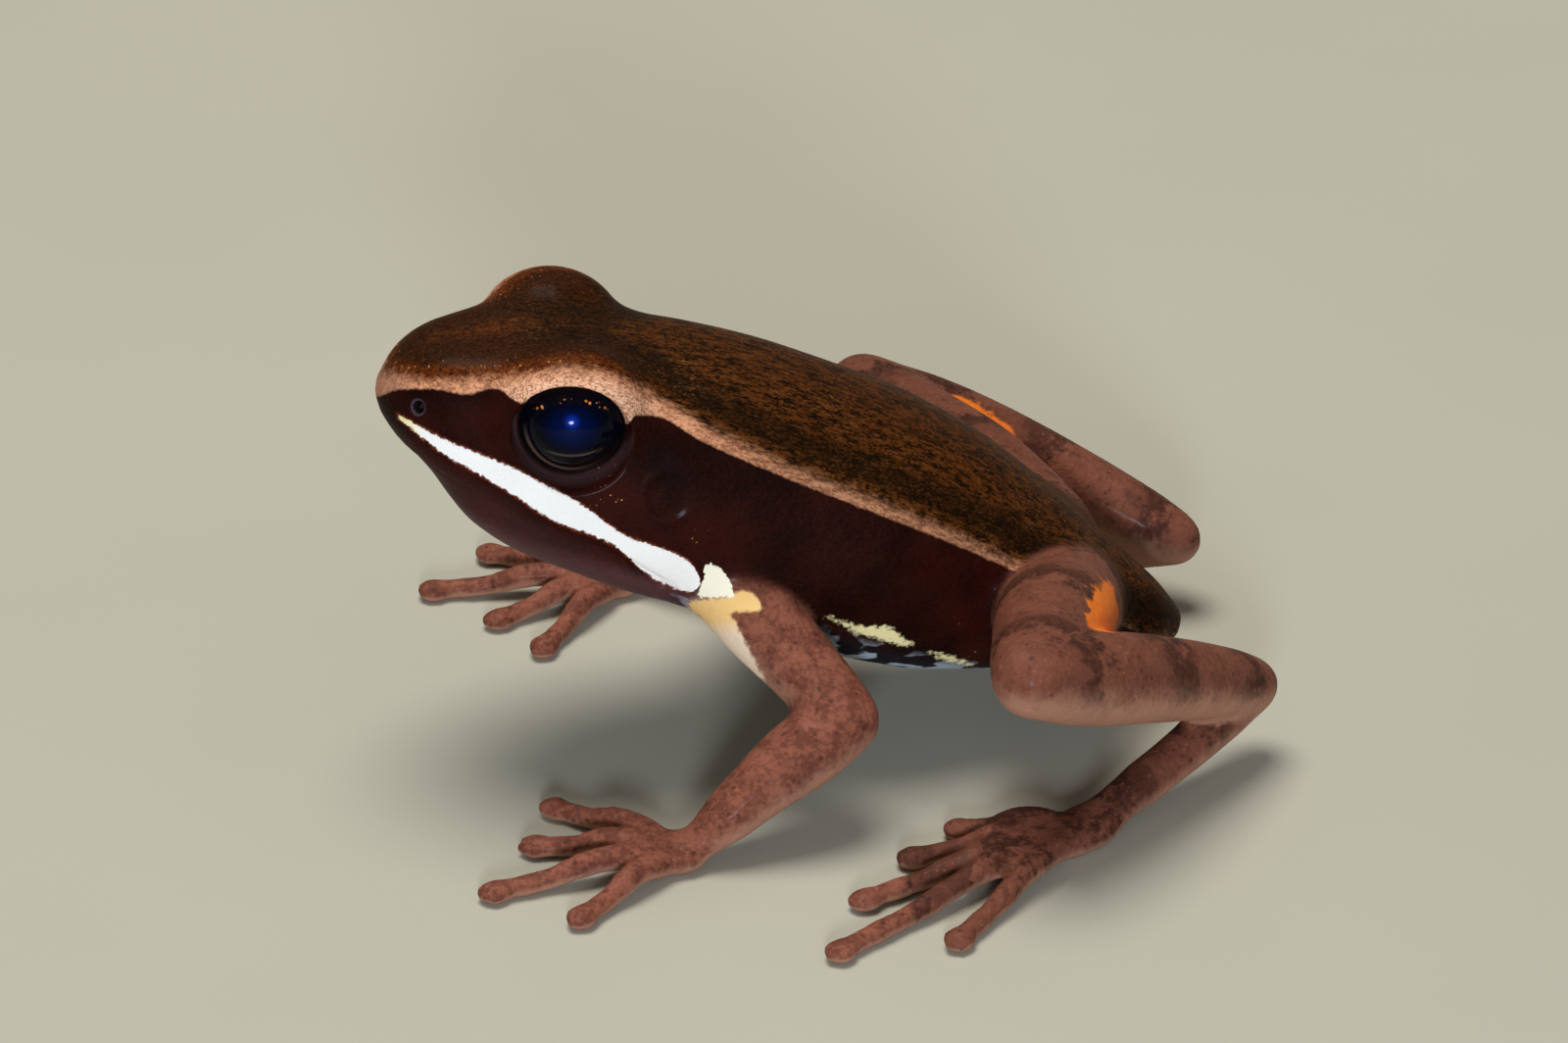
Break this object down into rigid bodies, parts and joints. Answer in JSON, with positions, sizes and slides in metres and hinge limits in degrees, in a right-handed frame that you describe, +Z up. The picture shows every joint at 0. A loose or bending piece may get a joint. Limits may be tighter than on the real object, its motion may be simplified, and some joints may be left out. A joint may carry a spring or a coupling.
{
  "type": "frog",
  "caption": "Small smooth-skinned frog sitting on spread feet with its front raised, dark brown back, copper line over the eye and white lip stripe.",
  "frame": {"origin": "middle of the footprint's box, on the floor that the hands and feet rest on", "axes": "+Z up; the frog faces -X, so its left side is -Y and its right side is +Y"},
  "size_m": [0.0296, 0.032, 0.0158],
  "materials": {
    "back_skin": "moist satin",
    "throat_skin": "moist satin",
    "limb_skin": "moist satin",
    "eardrum_skin": "satin",
    "eye": "wet gloss"
  },
  "bodies": {
    "root": {"head": "back_skin", "lower_jaw": "throat_skin", "torso": "back_skin", "eye_left": "eye", "eye_right": "eye", "eardrum_left": "eardrum_skin", "eardrum_right": "eardrum_skin", "upper_arm_left": "limb_skin", "forearm_left": "limb_skin", "hand_left": "limb_skin", "thigh_left": "limb_skin", "shank_left": "limb_skin", "tarsus_left": "limb_skin", "foot_left": "limb_skin", "upper_arm_right": "limb_skin", "forearm_right": "limb_skin", "hand_right": "limb_skin", "thigh_right": "limb_skin", "shank_right": "limb_skin", "tarsus_right": "limb_skin", "foot_right": "limb_skin"}
  },
  "joints": []
}
